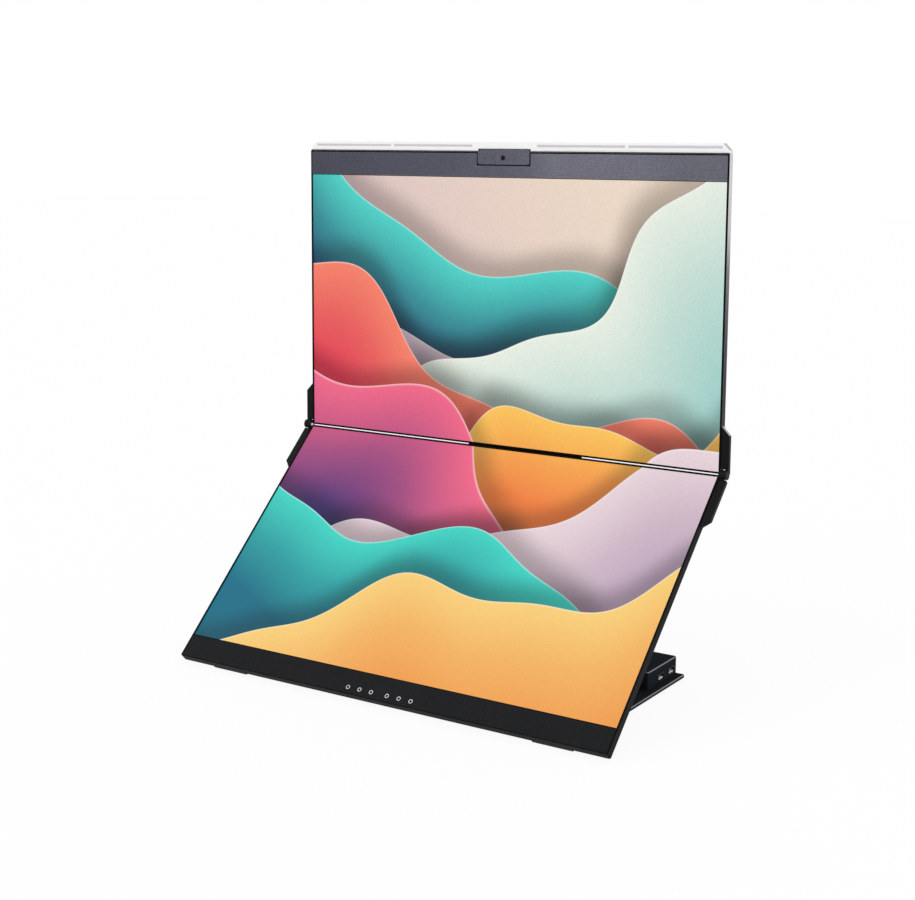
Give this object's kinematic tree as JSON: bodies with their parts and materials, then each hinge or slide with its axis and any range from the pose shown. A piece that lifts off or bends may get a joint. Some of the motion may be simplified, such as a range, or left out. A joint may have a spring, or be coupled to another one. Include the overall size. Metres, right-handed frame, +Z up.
{
  "type": "dual stacked monitor",
  "caption": "Stacked pair of hinged flat screens, the lower one leaning back like a drawing board on a stand arm, with a connection hub on a flat base plate.",
  "frame": {"origin": "middle of the whole object's footprint, on the desk", "axes": "+X to the viewer's right along the hinges, +Y away from the viewer, +Z up"},
  "size_m": [0.549, 0.2628, 0.5717],
  "materials": {
    "frame_black": "fine moulded ABS, near black",
    "strip_satin": "satin anodised, bluish grey, fine grain",
    "chin_satin": "satin moulded, fine grain",
    "screen_upper": "lit screen under an anti-glare film",
    "screen_lower": "lit screen under an anti-glare film",
    "guide_acrylic": "clear acrylic sheet",
    "tray_steel": "pressed sheet steel",
    "cover_upper": "satin grey moulded back",
    "cover_lower": "satin black moulded back",
    "rail_aluminium": "bright anodised silver",
    "bracket_black": "black powder coat",
    "hub_gloss": "polished black",
    "plate_gloss": "polished black paint, bright bevel",
    "fixing_steel": "turned steel",
    "washer_brass": "plain brass",
    "board_green": "glass-fibre circuit board",
    "socket_steel": "plated sheet steel",
    "ring_white": "white moulded",
    "inlet_black": "moulded black",
    "lens_glass": "coated lens",
    "rubber_black": "black rubber",
    "speaker_black": "moulded speaker box"
  },
  "bodies": {
    "base": {"base_plate": "plate_gloss", "base_feet": "rubber_black", "foot_bracket": "bracket_black", "foot_bracket_screws": "fixing_steel", "foot_pin": "fixing_steel", "foot_washers": "washer_brass", "hub_shell": "hub_gloss", "hub_board": "board_green", "usb_sockets": "socket_steel", "usb_tongues": "ring_white", "power_inlet": "inlet_black", "video_socket": "socket_steel", "network_socket": "socket_steel", "hub_screws": "fixing_steel"},
    "arm": {"stand_arm": "bracket_black", "arm_cover": "cover_lower"},
    "lower_display": {"lower_front_frame": "frame_black", "chin_cover": "chin_satin", "touch_key_rings": "ring_white", "touch_key_board": "board_green", "lower_lcd_panel": "screen_lower", "lower_light_guide": "guide_acrylic", "lower_led_bar": "ring_white", "lower_backlight_tray": "tray_steel", "lower_rear_cover": "cover_lower", "lower_main_board": "board_green", "lower_power_board": "board_green", "speaker_left": "speaker_black", "speaker_right": "speaker_black", "lower_hinge_bracket_left": "bracket_black", "lower_hinge_bracket_right": "bracket_black", "hinge_pin_left": "fixing_steel", "hinge_pin_right": "fixing_steel", "hinge_spring_washers": "fixing_steel", "lower_cover_screws": "fixing_steel", "lower_bracket_rivets": "fixing_steel", "tilt_bracket": "bracket_black", "tilt_bracket_screws": "fixing_steel", "tilt_pin": "fixing_steel", "tilt_washers": "washer_brass", "chin_pads": "rubber_black"},
    "upper_display": {"upper_front_frame": "frame_black", "brow_strip": "strip_satin", "upper_lcd_panel": "screen_upper", "upper_light_guide": "guide_acrylic", "upper_led_bar": "ring_white", "upper_backlight_tray": "tray_steel", "upper_rear_cover": "cover_upper", "top_rail": "rail_aluminium", "webcam_housing": "strip_satin", "webcam_lens": "lens_glass", "webcam_board": "board_green", "upper_driver_board": "board_green", "upper_hinge_bracket_left": "bracket_black", "upper_hinge_bracket_right": "bracket_black", "bridge_cover": "hub_gloss", "upper_cover_screws": "fixing_steel", "upper_bracket_rivets": "fixing_steel"}
  },
  "joints": [
    {"name": "foot_hinge", "type": "hinge", "parent": "base", "child": "arm", "pos_m": [0, 0.0484, 0.0159], "axis": [-1, 0, 0], "range_deg": [0, 12]},
    {"name": "tilt_hinge", "type": "hinge", "parent": "arm", "child": "lower_display", "pos_m": [0, 0.00373, 0.09408], "axis": [-1, 0, 0], "range_deg": [0, 43.4]},
    {"name": "screen_hinge", "type": "hinge", "parent": "lower_display", "child": "upper_display", "pos_m": [0, 0.1054, 0.23399], "axis": [1, 0, 0], "range_deg": [-46.6, 133.4]}
  ]
}
